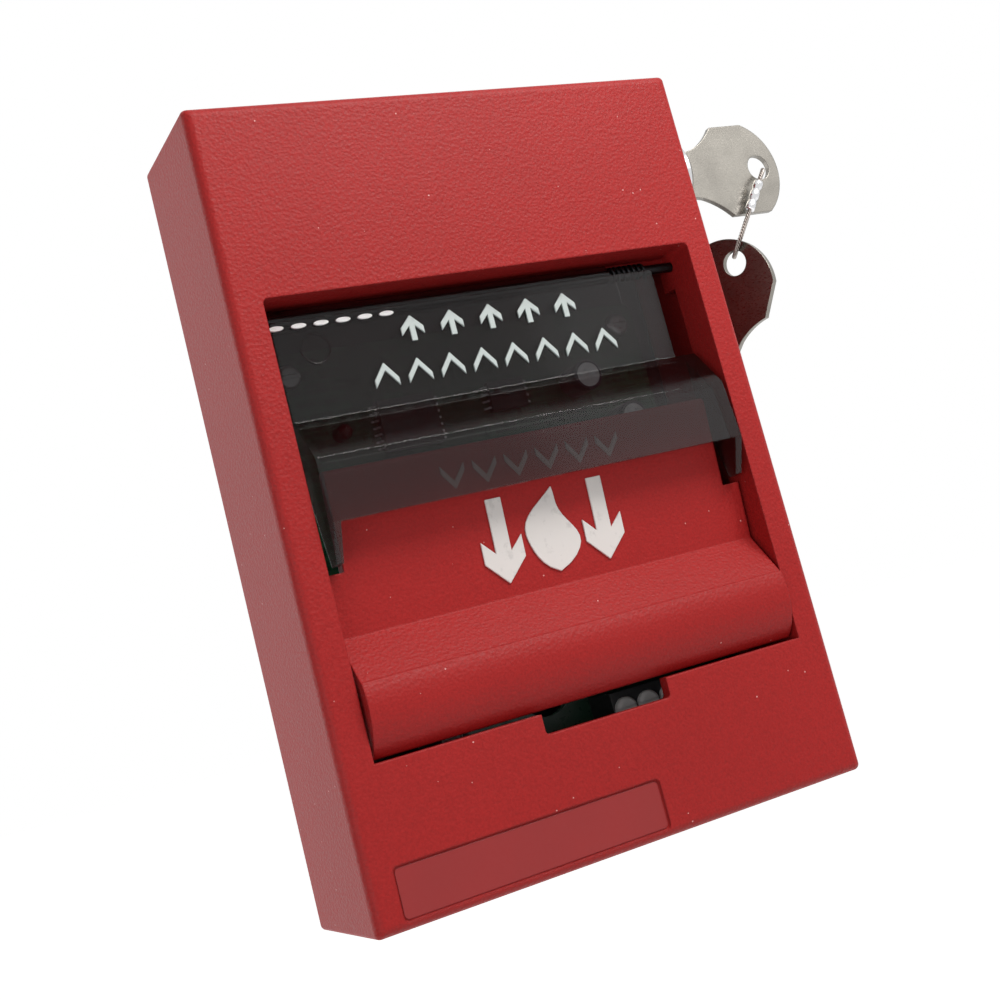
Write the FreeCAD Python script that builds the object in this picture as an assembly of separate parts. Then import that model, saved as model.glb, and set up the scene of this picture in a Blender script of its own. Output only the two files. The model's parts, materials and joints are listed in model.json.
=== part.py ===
import FreeCAD, Part
import math
import os

os.makedirs("parts", exist_ok=True)
V = FreeCAD.Vector

# ---------------------------------------------------------------------------
# Manual call point, millimetres. +X right, +Y into the wall, +Z up.
# The origin is midway between the two box screws, on the wall plane (Y = 0).
# ---------------------------------------------------------------------------

# Overall cover
COVER_W = 101.6
COVER_H = 144.5
COVER_D = 31.75
WALL = 2.5
RIM_GAP = 2.0              # cover rim to wall plane
FRONT_FILLET = 1.8
SIDE_FILLET = 1.0
REAR_LEFT_FILLET = 1.5
CORE_FILLET = 1.5          # inside corners of the cover

# Window in the cover
WINDOW_HALF_W = 44.56
WINDOW_TOP_DROP = 36.1     # cover top edge to window top
WINDOW_H = 81.25
FLANGE_D = 8.5             # depth of the return flange round the window
FLANGE_T = 2.0
WINDOW_FILLET = 1.0
NOTCH_LEFT = -12.8
NOTCH_RIGHT = 13.5
NOTCH_D = 3.65
NOTCH_FILLET = 0.8
LABEL_W = 52.4
LABEL_H = 9.1
LABEL_LEFT_GAP = 5.0
LABEL_BOTTOM_GAP = 1.4
LABEL_DEPTH = 0.5
LABEL_FILLET = 1.0

# Clearances
FIT = 0.05                 # radial clearance of a pin or shaft
PRESS = 0.02               # radial clearance of a fixed pin or screw shank
RUN = 0.4                  # gap between faces that move past each other

# Cover hinge
HINGE_PIN_R = 1.0
EYE_R = 2.2
HINGE_IN_X = WALL + EYE_R + RUN   # hinge axis in from the cover's left face
HINGE_IN_Y = 5.3           # hinge axis out from the wall plane
LUG_T = 2.0
LUG_BRIDGE = 4.0           # width of a lug's foot on the plate
LUG_WALL_CLEAR = 0.3       # lug's back to the wall behind it
EAR_T = 4.0
HINGE_FROM_END = 15.0      # lug to the cover's top and bottom
HINGE_HEAD_L = 0.8         # pin end that stands past the lug

# Mounting plate
PLATE_T = 2.0
PLATE_RIGHT = 46.0
PLATE_H = 134.0
PLATE_FILLET = 3.0
BOX_SCREW_PITCH = 83.3
BOX_SCREW_HOLE_R = 2.2
WIRE_HOLE_W = 46.0
WIRE_HOLE_H = 50.0
WIRE_HOLE_FILLET = 6.0

# Lift flap. Its corners are (depth behind the cover's front, height above the window's lower edge).
FLAP_T = 1.8
FLAP_HINGE_DEPTH = 8.0     # hinge axis behind the cover's front
FLAP_HINGE_DROP = 2.6      # hinge axis below the window's top
FLAP_PIN_R = 1.0
FLAP_BARREL_R = 2.1
FLAP_TOP_RIGHT = 38.0      # right end of the face and barrel
FLAP_LOW_HALF_W = 42.6
FLAP_CHEEK_T = 1.4
FLAP_CREASE = (5.1, 59.55)
FLAP_LEDGE = (-1.5, 51.95)
FLAP_SKIRT = (-2.8, 40.45)
FLAP_CHEEK_FRONT = (0.6, 33.6)
FLAP_CHEEK_BACK = (3.2, 33.4)
FLAP_CHEEK_BACK_UP = 50.0
SHROUD_T = 1.5             # rib of the cover behind the flap's barrel
SHROUD_LIFT = 0.6          # its lower edge above the hinge axis
BEARING_HALF = 4.5         # half size of the blocks that hold the flap's and handle's pins
BEARING_STEP = 0.4         # how far they stand past the flange

# Pull handle. Its corners are given as the flap's are.
HANDLE_HALF_W = 43.9
HANDLE_PLATE_HALF_W = 40.2
HANDLE_T = 2.6
HANDLE_TOP = (3.0, 50.15)
HANDLE_STEP_UP = 32.35     # the plate is narrower above this, between the flap's cheeks
HANDLE_CREASE = (5.5, 21.15)
HANDLE_RIDGE = (-0.9, 13.35)
HANDLE_BAR_END = 2.3       # depth at which the finger bar's lower edge ends
PIVOT_DEPTH = 9.5
PIVOT_UP = 9.35            # pivot above the window's lower edge
PIVOT_PIN_R = 1.5
HUMP_R = 11.4
HANDLE_BOSS_R = 4.0
HANDLE_FILLET = 1.0
TAIL_X = -26.0
TAIL_T = 5.0
TAIL_R = 7.0
TAIL_ANGLE = -112.0
TAIL_TIP_R = 2.0

# Springs
SPRING_L = 9.0
SPRING_TURNS = 7
FLAP_SPRING_WIRE_R = 0.3
HANDLE_SPRING_WIRE_R = 0.4

# Lock and keys
LOCK_DROP = 18.85          # lock axis below the cover's top
LOCK_DEPTH = 10.5          # lock axis behind the cover's front
BEZEL_R = 7.5
BEZEL_T = 3.2
BEZEL_CHAMFER = 1.0
BARREL_R = 6.0
BARREL_L = 18.0
PLUG_R = 4.3
PLUG_BACK_GAP = 0.4        # plug's end past the barrel's
PLUG_TAIL_L = 3.0
PLUG_TAIL_R = 3.3
PLUG_FLAT = 2.2            # axis to each flat of the plug's tail
NUT_AF = 14.0
NUT_T = 3.0
WASHER_T = 0.8
WASHER_R = 7.4
CAM_T = 1.6
CAM_L = 13.0
CAM_R = 4.6
CAM_FILLET = 2.5
CAM_SCREW_HEAD_R = 4.0
CAM_SCREW_HEAD_T = 1.8
CAM_SCREW_L = 5.0
WAFERS = 5
WAFER_PITCH = 2.6
WAFER_FROM_FACE = 4.0
WAFER_T = 0.9
WAFER_HALF = 2.55
KEY_T = 1.3
BLADE_H = 6.4
BLADE_L = 20.0
KEY_STANDOFF = 0.8         # key's shoulder to the lock's face
KEY_POINT_L = 2.0
BIT_HALF_L = 0.7
KEY_HOLE_R = 2.75
# Bow, from the centre of its hole: +X away from the lock
BOW_HALF_H = 10.1
BOW_TOP = (-9.9, -1.9)     # ends of the flat along the top
BOW_LOW = (-9.5, 0.2)      # ends of the flat along the bottom
BOW_TIP = (5.0, -0.5)
NECK_X = -16.2
NECK_HALF_H = 5.5
NECK_L = 4.4
NECK_TAPER = 0.9
SCOOP = (2.65, 1.3)        # middle of each scoop, from the neck's corner
BIT_DEPTHS = (0.5, 1.0, 0.3, 0.8, 0.6)

# Wire link from the key's hole to the hanging key's
LINK_WIRE_R = 0.5
LINK_DROP = (-10.2, 3.0, -19.7)   # key hole to spare key hole
LINK_TOP = (1.2, 0.0, -0.9)       # wire in the key's hole, from its centre
LINK_LOW = (0.2, 0.0, 1.8)        # wire in the spare key's hole, from its centre
LOOP_SIDE = (0.58, 0.80, 0.17)
LOOP_HALF_W = 4.5
FERRULE_L = 7.0
FERRULE_WALL = 0.55
SPARE_BLADE = (-0.26, 0.43, -0.865)   # way the hanging key's blade points
SPARE_FACE = (-0.90, -0.44, 0.05)     # normal of its flat face

# Strike that the lock's cam turns behind
STRIKE_T = 1.6
STRIKE_H = 5.6
STRIKE_FOOT = 9.0
STRIKE_GAP = 2.8           # strike's web to the cam
STRIKE_UNDER_BARREL = 0.8

# Screws
SCREW_R = 1.25
SCREW_HEAD_R = 2.4
SCREW_HEAD_H = 1.6
SCREW_SLOT_W = 0.8

# Board and contacts
BOARD_T = 1.6
TAIL_TO_SWITCH = 5.15      # handle's pivot axis to the switch's face
BOARD_LEFT = -40.0
BOARD_RIGHT = 42.0
BOARD_BOTTOM = -66.0
BOARD_TOP = 31.0
BOARD_SCREW_EDGE = 4.5
BOARD_FILLET = 2.0
STANDOFF_R = 3.0
BOX_SCREW_ROOM_R = 5.5     # cut-out of the board round a box screw
POLES = 5
POLE_PITCH = 5.08
BLOCK_LEFT = 8.8
BLOCK_D = 9.0
BLOCK_H = 9.0
BLOCK_Z = -50.4
BLOCK_SCREW_UP = 1.0
TERMINAL_HEAD_R = 2.3
TERMINAL_HEAD_H = 1.5
TERMINAL_SHANK_L = 5.0
CLAMP_HALF_W = 1.7
CLAMP_WALL = 0.5
CLAMP_ROOF = 2.4           # front of the block to the chamber that holds a clamp
CLAMP_FLOOR = 1.2          # board to the same chamber
SWITCH_W = 10.3
SWITCH_L = 20.0
SWITCH_D = 8.5
SWITCH_FILLET = 0.6
SWITCH_BELOW_PIVOT = 28.25   # handle's pivot to the switch's lower end
LEVER_T = 0.5
LEVER_W = 4.0
LEVER_L = 21.4
LEVER_LEAN = 10.6          # degrees, free lever to the switch face
LEVER_PIVOT_OUT = 1.3
LEVER_PIVOT_UP = 2.0
LEVER_PIN_R = 0.5
LEVER_CURL_R = 1.0
LEVER_EAR_T = 0.6
LEVER_EAR_GAP = 0.2
PLUNGER_UP = 7.5
PLUNGER_OUT = 1.6
PLUNGER_IN = 2.0
PLUNGER_HALF_W = 0.9
PLUNGER_HALF_H = 1.2
BLADE_HALF_T = 0.4         # switch's solder blades
BLADE_W = 2.4
BLADE_PITCH = 7.0
BLADE_FROM_END = 1.8
BLADE_OUT = 2.0
LED_R = 1.5
LED_L = 3.0

# Worked-out places
RIGHT = COVER_W / 2
LEFT = -RIGHT
TOP = COVER_H / 2
BOTTOM = -TOP
RIM_Y = -RIM_GAP
FRONT_Y = RIM_Y - COVER_D
WINDOW_TOP = TOP - WINDOW_TOP_DROP
WINDOW_BOTTOM = WINDOW_TOP - WINDOW_H
HINGE_X = LEFT + HINGE_IN_X
HINGE_Y = -HINGE_IN_Y
FLAP_Y = FRONT_Y + FLAP_HINGE_DEPTH
FLAP_Z = WINDOW_TOP - FLAP_HINGE_DROP
PIVOT_Y = FRONT_Y + PIVOT_DEPTH
PIVOT_Z = WINDOW_BOTTOM + PIVOT_UP
LOCK_Y = FRONT_Y + LOCK_DEPTH
LOCK_Z = TOP - LOCK_DROP
BEZEL_X = RIGHT + BEZEL_T
BARREL_END_X = RIGHT - BARREL_L
SWITCH_Y = PIVOT_Y + TAIL_TO_SWITCH          # front face of the switch
SWITCH_Z = PIVOT_Z - SWITCH_BELOW_PIVOT      # its lower end
BOARD_Y = SWITCH_Y + SWITCH_D                # front face of the board
BOARD_UP = -PLATE_T - BOARD_T - BOARD_Y      # standoff length
LEVER_PIVOT = (SWITCH_Y - LEVER_PIVOT_OUT, SWITCH_Z + LEVER_PIVOT_UP)


def box(x0, x1, y0, y1, z0, z1):
    return Part.makeBox(x1 - x0, y1 - y0, z1 - z0, V(x0, y0, z0))


def rod(start, axis, radius, length):
    return Part.makeCylinder(radius, length, V(*start), V(*axis))


def fuse(shapes):
    whole = shapes[0]
    for shape in shapes[1:]:
        whole = whole.fuse(shape)
    return whole.removeSplitter()


def cut(shape, tools):
    for tool in tools:
        shape = shape.cut(tool)
    return shape


def fillet(shape, radius, wanted):
    """Round the edges for which wanted(centre, direction) holds."""
    edges = []
    for edge in shape.Edges:
        if edge.Curve.TypeId != "Part::GeomLine":
            continue
        centre = edge.CenterOfMass
        direction = (edge.Vertexes[-1].Point - edge.Vertexes[0].Point).normalize()
        if wanted(centre, direction):
            edges.append(edge)
    return shape.makeFillet(radius, edges)


def slab(points, x0, x1):
    """A prism along X from (y, z) points."""
    wire = Part.makePolygon([V(x0, y, z) for y, z in points + points[:1]])
    return Part.Face(wire).extrude(V(x1 - x0, 0, 0))


def save(name, shapes):
    shape = shapes[0] if len(shapes) == 1 else Part.makeCompound(shapes)
    shape.exportStep("parts/%s.step" % name)


def corner(place):
    """(y, z) of a flap's or handle's corner."""
    return (FRONT_Y + place[0], WINDOW_BOTTOM + place[1])


def behind(place, thickness, drop=0.0):
    """The corner that lies a wall's thickness behind another."""
    return corner((place[0] + thickness, place[1] - drop))


def pan_screw(place, head_r, head_h, shank_l, slot_w=SCREW_SLOT_W):
    """A slotted screw whose head stands towards -Y on its place."""
    x, y, z = place
    head = rod(place, (0, -1, 0), head_r, head_h)
    rim = [e for e in head.Edges if abs(e.CenterOfMass.y - (y - head_h)) < 1e-6 and len(e.Vertexes) == 1]
    head = head.makeFillet(0.6 * head_h, rim)
    slot = box(x - head_r, x + head_r, y - head_h, y - 0.5 * head_h, z - slot_w / 2, z + slot_w / 2)
    return fuse([head.cut(slot), rod(place, (0, 1, 0), SCREW_R, shank_l)])


# ---------------------------------------------------------------------------
# Front cover: an open-backed shell with a framed window
# ---------------------------------------------------------------------------
def cover_shell():
    def rear_left(c, d):
        return abs(d.z) > 0.9 and abs(c.x - LEFT) < 0.1 and c.y > RIM_Y - 0.1

    shell = box(LEFT, RIGHT, FRONT_Y, RIM_Y, BOTTOM, TOP)
    shell = fillet(shell, SIDE_FILLET, lambda c, d: abs(d.y) > 0.9)
    shell = fillet(shell, REAR_LEFT_FILLET, rear_left)
    front_rim = [e for e in shell.Edges if abs(e.BoundBox.YMax - FRONT_Y) < 1e-4]
    shell = shell.makeFillet(min(FRONT_FILLET, 0.8 * WALL), front_rim)
    core = box(LEFT + WALL, RIGHT - WALL, FRONT_Y + WALL, RIM_Y + 1, BOTTOM + WALL, TOP - WALL)
    return shell.cut(fillet(core, CORE_FILLET, lambda c, d: abs(d.y) > 0.9))


def make_cover():
    outer = WINDOW_HALF_W + FLANGE_T
    above = WINDOW_TOP + FLANGE_T
    inside_y = FRONT_Y + WALL / 2          # pieces fused on inside start within the front wall
    flange_y = FRONT_Y + FLANGE_D
    frame = box(-outer, outer, inside_y, flange_y, WINDOW_BOTTOM, above)

    # Window, with the notch in its lower edge, and the recess for a label
    window = box(-WINDOW_HALF_W, WINDOW_HALF_W, FRONT_Y - 1, flange_y + 1, WINDOW_BOTTOM, WINDOW_TOP)
    window = fillet(window, WINDOW_FILLET, lambda c, d: abs(d.y) > 0.9 and c.z > 0)
    notch_z = WINDOW_BOTTOM - NOTCH_D
    notch = box(NOTCH_LEFT, NOTCH_RIGHT, FRONT_Y - 1, FRONT_Y + WALL + 1, notch_z, WINDOW_BOTTOM + 1)
    notch = fillet(notch, NOTCH_FILLET, lambda c, d: abs(d.y) > 0.9 and c.z < WINDOW_BOTTOM)
    label_x = LEFT + LABEL_LEFT_GAP
    label_z = BOTTOM + LABEL_BOTTOM_GAP
    label = box(label_x, label_x + LABEL_W, FRONT_Y - 1, FRONT_Y + LABEL_DEPTH, label_z, label_z + LABEL_H)
    label = fillet(label, LABEL_FILLET, lambda c, d: abs(d.y) > 0.9)
    parts = [cut(fuse([cover_shell(), frame]), [window, notch, label])]

    # Shroud behind the flap's barrel, joined to the top flange
    shroud_y = FLAP_Y + FLAP_BARREL_R + RUN
    parts.append(box(-outer, outer, shroud_y, shroud_y + SHROUD_T, FLAP_Z + SHROUD_LIFT, above))
    parts.append(box(-outer, outer, inside_y, shroud_y + SHROUD_T, WINDOW_TOP, above))
    # Bearings of the flap's pin and the handle's pin
    for side in (-1, 1):
        x0, x1 = sorted((side * WINDOW_HALF_W, side * (outer + BEARING_STEP)))
        for y, low, high in ((FLAP_Y, FLAP_Z - BEARING_HALF, above),
                             (PIVOT_Y, PIVOT_Z - BEARING_HALF, PIVOT_Z + BEARING_HALF)):
            parts.append(box(x0, x1, inside_y, y + BEARING_HALF, low, high))
    # Knuckles of the cover's hinge
    for z0, z1 in hinge_knuckles():
        parts.append(box(LEFT + WALL / 2, HINGE_X, HINGE_Y - EYE_R, HINGE_Y + EYE_R, z0, z1))
        parts.append(rod((HINGE_X, HINGE_Y, z0), (0, 0, 1), EYE_R, z1 - z0))
    cover = fuse(parts)

    reach = outer + 2 * BEARING_STEP
    sweep_half = HANDLE_HALF_W + RUN
    tools = [rod((-sweep_half, PIVOT_Y, PIVOT_Z), (1, 0, 0), HUMP_R + RUN, 2 * sweep_half),
             rod((-reach, FLAP_Y, FLAP_Z), (1, 0, 0), FLAP_PIN_R + PRESS, 2 * reach),
             rod((-reach, PIVOT_Y, PIVOT_Z), (1, 0, 0), PIVOT_PIN_R + PRESS, 2 * reach),
             rod((RIGHT - WALL - 1, LOCK_Y, LOCK_Z), (1, 0, 0), BARREL_R + FIT, WALL + 2)]
    for z0, z1 in hinge_knuckles():
        tools.append(rod((HINGE_X, HINGE_Y, z0 - 1), (0, 0, 1), HINGE_PIN_R + PRESS, z1 - z0 + 2))
    return cut(cover, tools)


def lug_places():
    """Height of each lug's middle, and the way from it to the cover's nearer end."""
    return [(sign * (TOP - HINGE_FROM_END), sign) for sign in (-1, 1)]


def hinge_knuckles():
    """Lower and upper end of each of the cover's two knuckles, inboard of the plate's lugs."""
    ends = []
    for z, sign in lug_places():
        near = z - sign * (LUG_T / 2 + RUN)
        ends.append(sorted((near, near - sign * EAR_T)))
    return ends


# ---------------------------------------------------------------------------
# Lift flap: one clear moulding with a barrel, a face, a ledge and a skirt
# ---------------------------------------------------------------------------
def make_flap():
    barrel_up = FLAP_Z - WINDOW_BOTTOM
    face_depth = FLAP_CREASE[0]
    bend = 0.45 * FLAP_T         # the inner corner of a bend sits this far below the outer one
    face_top = (face_depth, barrel_up - 0.3 * FLAP_BARREL_R)
    face = slab([corner(face_top), corner(FLAP_CREASE), behind(FLAP_CREASE, FLAP_T, bend),
                 behind(face_top, FLAP_T)], -FLAP_LOW_HALF_W, FLAP_TOP_RIGHT)
    ledge = slab([corner(FLAP_CREASE), corner(FLAP_LEDGE), corner(FLAP_SKIRT), behind(FLAP_SKIRT, FLAP_T),
                  behind(FLAP_LEDGE, FLAP_T, bend), behind(FLAP_CREASE, FLAP_T, bend)],
                 -FLAP_LOW_HALF_W, FLAP_LOW_HALF_W)
    parts = [face, ledge]
    cheek = [behind(FLAP_CREASE, FLAP_T, bend), corner(FLAP_CREASE), corner(FLAP_LEDGE), corner(FLAP_SKIRT),
             corner(FLAP_CHEEK_FRONT), corner(FLAP_CHEEK_BACK),
             corner((face_depth + FLAP_T, FLAP_CHEEK_BACK_UP))]
    for side in (-1, 1):
        x0, x1 = sorted((side * FLAP_LOW_HALF_W, side * (FLAP_LOW_HALF_W - FLAP_CHEEK_T)))
        parts.append(slab(cheek, x0, x1))
    width = FLAP_LOW_HALF_W + FLAP_TOP_RIGHT
    parts.append(rod((-FLAP_LOW_HALF_W, FLAP_Y, FLAP_Z), (1, 0, 0), FLAP_BARREL_R, width))
    bore = rod((-FLAP_LOW_HALF_W, FLAP_Y, FLAP_Z), (1, 0, 0), FLAP_PIN_R + FIT, 2 * FLAP_LOW_HALF_W)
    spring_x = FLAP_TOP_RIGHT - SPRING_L - RUN
    spring_room = rod((spring_x, FLAP_Y, FLAP_Z), (1, 0, 0), FLAP_BARREL_R + FIT, SPRING_L + 2 * RUN)
    return cut(fuse(parts), [bore, spring_room])


# ---------------------------------------------------------------------------
# Pull handle: plate, sloping shoulder and a hollow finger bar about the pivot
# ---------------------------------------------------------------------------
def make_handle():
    slope = (HANDLE_CREASE[0] - HANDLE_TOP[0]) / (HANDLE_TOP[1] - HANDLE_CREASE[1])
    step = (HANDLE_TOP[0] + slope * (HANDLE_TOP[1] - HANDLE_STEP_UP), HANDLE_STEP_UP)
    bend = 0.25 * HANDLE_T       # the inner corner of a bend sits this far below the outer one
    inner_crease = behind(HANDLE_CREASE, HANDLE_T, bend)

    upper = slab([corner(HANDLE_TOP), corner(step), behind(step, HANDLE_T), behind(HANDLE_TOP, HANDLE_T)],
                 -HANDLE_PLATE_HALF_W, HANDLE_PLATE_HALF_W)
    top_z = WINDOW_BOTTOM + HANDLE_TOP[1]
    upper = fillet(upper, HANDLE_FILLET, lambda c, d: abs(d.x) > 0.9 and c.z > top_z - 0.5)
    lower = slab([corner(step), corner(HANDLE_CREASE), inner_crease, behind(step, HANDLE_T)],
                 -HANDLE_HALF_W, HANDLE_HALF_W)
    shoulder = slab([corner(HANDLE_CREASE), corner(HANDLE_RIDGE), behind(HANDLE_RIDGE, HANDLE_T, 2 * bend),
                     inner_crease], -HANDLE_HALF_W, HANDLE_HALF_W)

    # Finger bar: a ring segment about the pivot, below the shoulder's ridge
    wide = 2 * HANDLE_HALF_W
    bar = rod((-HANDLE_HALF_W, PIVOT_Y, PIVOT_Z), (1, 0, 0), HUMP_R, wide)
    hollow = rod((HANDLE_T - HANDLE_HALF_W, PIVOT_Y, PIVOT_Z), (1, 0, 0), HUMP_R - HANDLE_T,
                 wide - 2 * HANDLE_T)
    front = PIVOT_DEPTH - HUMP_R - 1
    keep = slab([corner(HANDLE_CREASE), corner(HANDLE_RIDGE), corner((front, HANDLE_RIDGE[1])),
                 corner((front, PIVOT_UP - HUMP_R - 1)), corner((HANDLE_BAR_END, PIVOT_UP - HUMP_R - 1)),
                 corner((HANDLE_BAR_END, HANDLE_RIDGE[1]))], -HANDLE_HALF_W, HANDLE_HALF_W)
    parts = [upper, lower, shoulder, bar.common(keep).cut(hollow)]

    # Ends with the pivot's bosses
    for side in (-1, 1):
        x0, x1 = sorted((side * HANDLE_HALF_W, side * (HANDLE_HALF_W - HANDLE_T)))
        parts.append(slab([corner(HANDLE_CREASE), corner(HANDLE_RIDGE), corner((HANDLE_CREASE[0], PIVOT_UP)),
                           corner((PIVOT_DEPTH, PIVOT_UP)), inner_crease], x0, x1))
        parts.append(rod((x0, PIVOT_Y, PIVOT_Z), (1, 0, 0), HANDLE_BOSS_R, x1 - x0))

    # Tail that works the switch: a web from the bar's inner face past the pivot
    angle = math.radians(TAIL_ANGLE)
    tip_y = PIVOT_Y + TAIL_R * math.cos(angle)
    tip_z = PIVOT_Z + TAIL_R * math.sin(angle)
    x0 = TAIL_X - TAIL_T / 2
    web = [behind(HANDLE_CREASE, HANDLE_T / 2, 2 * bend), behind(HANDLE_RIDGE, HANDLE_T / 2, bend),
           corner((HANDLE_T / 5, PIVOT_UP - HANDLE_T / 2)), (tip_y - TAIL_TIP_R, tip_z),
           (tip_y + TAIL_TIP_R, tip_z), (PIVOT_Y - TAIL_TIP_R / 4, PIVOT_Z), inner_crease]
    parts.append(slab(web, x0, x0 + TAIL_T))
    parts.append(rod((x0, tip_y, tip_z), (1, 0, 0), TAIL_TIP_R, TAIL_T))
    bore = rod((-HANDLE_HALF_W - 1, PIVOT_Y, PIVOT_Z), (1, 0, 0), PIVOT_PIN_R + FIT, wide + 2)
    return fuse(parts).cut(bore)


# ---------------------------------------------------------------------------
# Springs and pins on the cover
# ---------------------------------------------------------------------------
def coil(x, y, z, pin_r, wire_r):
    """A helical spring along +X on a pin, of round wire, SPRING_L long with its wire."""
    radius = pin_r + FIT + wire_r
    pitch = (SPRING_L - 2 * wire_r) / SPRING_TURNS
    path = Part.makeHelix(pitch, pitch * SPRING_TURNS, radius)
    section = Part.Wire([Part.makeCircle(wire_r, V(radius, 0, 0), V(0, 1, 0))])
    spring = Part.Wire(path.Edges).makePipeShell([section], True, True)
    spring.Placement = FreeCAD.Placement(V(x + wire_r, y, z), FreeCAD.Rotation(V(0, 0, 1), V(1, 0, 0)))
    return spring


def make_pins():
    half = WINDOW_HALF_W + FLANGE_T
    save("flap_hinge_pin", [rod((-half, FLAP_Y, FLAP_Z), (1, 0, 0), FLAP_PIN_R, 2 * half)])
    save("handle_pivot_pin", [rod((-half, PIVOT_Y, PIVOT_Z), (1, 0, 0), PIVOT_PIN_R, 2 * half)])
    pins = []
    for z, sign in lug_places():
        inner = z - sign * (LUG_T / 2 + RUN + EAR_T)
        outer = z + sign * (LUG_T / 2 + HINGE_HEAD_L)
        z0, z1 = sorted((inner, outer))
        pins.append(rod((HINGE_X, HINGE_Y, z0), (0, 0, 1), HINGE_PIN_R, z1 - z0))
    save("cover_hinge_pins", pins)
    save("flap_spring", [coil(FLAP_TOP_RIGHT - SPRING_L, FLAP_Y, FLAP_Z, FLAP_PIN_R, FLAP_SPRING_WIRE_R)])
    spring_x = HANDLE_HALF_W - HANDLE_T - 2 * RUN - SPRING_L
    save("handle_spring", [coil(spring_x, PIVOT_Y, PIVOT_Z, PIVOT_PIN_R, HANDLE_SPRING_WIRE_R)])


# ---------------------------------------------------------------------------
# Lock and keys
# ---------------------------------------------------------------------------
def lock_rod(x0, radius, length):
    return rod((x0, LOCK_Y, LOCK_Z), (1, 0, 0), radius, length)


def plug_flats(x0, x1, gap):
    """The two blocks beside the flats of the plug's tail."""
    blocks = []
    for side in (-1, 1):
        y0, y1 = sorted((LOCK_Y + side * (PLUG_FLAT + gap), LOCK_Y + side * 2 * PLUG_R))
        blocks.append(box(x0, x1, y0, y1, LOCK_Z - 2 * PLUG_R, LOCK_Z + 2 * PLUG_R))
    return blocks


def make_lock():
    bezel = lock_rod(RIGHT, BEZEL_R, BEZEL_T)
    rim = [e for e in bezel.Edges if len(e.Vertexes) == 1 and abs(e.CenterOfMass.x - BEZEL_X) < 1e-6]
    bezel = bezel.makeChamfer(BEZEL_CHAMFER, rim)
    body = fuse([bezel, lock_rod(BARREL_END_X, BARREL_R, BARREL_L + BEZEL_T / 2)])
    save("lock_body", [body.cut(lock_rod(BARREL_END_X - 1, PLUG_R + FIT, BARREL_L + BEZEL_T + 2))])

    inside = RIGHT - WALL
    hole = lock_rod(BARREL_END_X, BARREL_R + PRESS, BARREL_L)
    save("lock_washer", [lock_rod(inside - WASHER_T, WASHER_R, WASHER_T).cut(hole)])
    nut_r = NUT_AF / 2 / math.cos(math.pi / 6)
    turns = [math.pi / 6 + math.pi / 3 * k for k in range(6)]
    hexagon = [(LOCK_Y + nut_r * math.cos(turn), LOCK_Z + nut_r * math.sin(turn)) for turn in turns]
    save("lock_nut", [slab(hexagon, inside - WASHER_T - NUT_T, inside - WASHER_T).cut(hole)])

    plug_end = BARREL_END_X - PLUG_BACK_GAP
    tail_end = plug_end - PLUG_TAIL_L
    plug = lock_rod(plug_end, PLUG_R, BEZEL_X + PLUG_BACK_GAP - plug_end)
    tail = cut(lock_rod(tail_end, PLUG_TAIL_R, PLUG_TAIL_L), plug_flats(tail_end - 1, plug_end, 0))
    blade_half = BLADE_H / 2 + FIT
    key_half = KEY_T / 2 + FIT
    keyway = box(BEZEL_X - BLADE_L - 1, BEZEL_X + 5, LOCK_Y - key_half, LOCK_Y + key_half,
                 LOCK_Z - blade_half, LOCK_Z + blade_half)
    tools = [keyway, lock_rod(tail_end - 1, SCREW_R + PRESS, CAM_SCREW_L + 1)]
    wafers = []
    for k in range(WAFERS):
        x = BEZEL_X - WAFER_FROM_FACE - WAFER_PITCH * k
        room = WAFER_HALF + FIT
        half_t = WAFER_T / 2
        tools.append(box(x - half_t - FIT, x + half_t + FIT, LOCK_Y - room, LOCK_Y - key_half,
                         LOCK_Z - room, LOCK_Z + room))
        wafers.append(box(x - half_t, x + half_t, LOCK_Y - WAFER_HALF, LOCK_Y - key_half - FIT,
                          LOCK_Z - WAFER_HALF, LOCK_Z + WAFER_HALF))
    save("lock_plug", [cut(fuse([plug, tail]), tools)])
    save("lock_wafers", wafers)

    # Cam: points at the wall when unlocked, and down behind the strike when locked
    cam_x0 = plug_end - CAM_T
    cam = fuse([lock_rod(cam_x0, CAM_R, CAM_T),
                box(cam_x0, plug_end, LOCK_Y, LOCK_Y + CAM_L, LOCK_Z - CAM_R, LOCK_Z + CAM_R)])
    cam = fillet(cam, CAM_FILLET, lambda c, d: abs(d.x) > 0.9 and c.y > LOCK_Y + CAM_L - 0.1)
    seat = lock_rod(cam_x0 - 1, PLUG_TAIL_R + PRESS, CAM_T + 2)
    save("lock_cam", [cam.cut(cut(seat, plug_flats(cam_x0 - 2, plug_end + 2, PRESS)))])
    head = lock_rod(tail_end - CAM_SCREW_HEAD_T, CAM_SCREW_HEAD_R, CAM_SCREW_HEAD_T)
    save("cam_screw", [fuse([head, lock_rod(tail_end, SCREW_R, CAM_SCREW_L)])])
    return cam_x0


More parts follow.
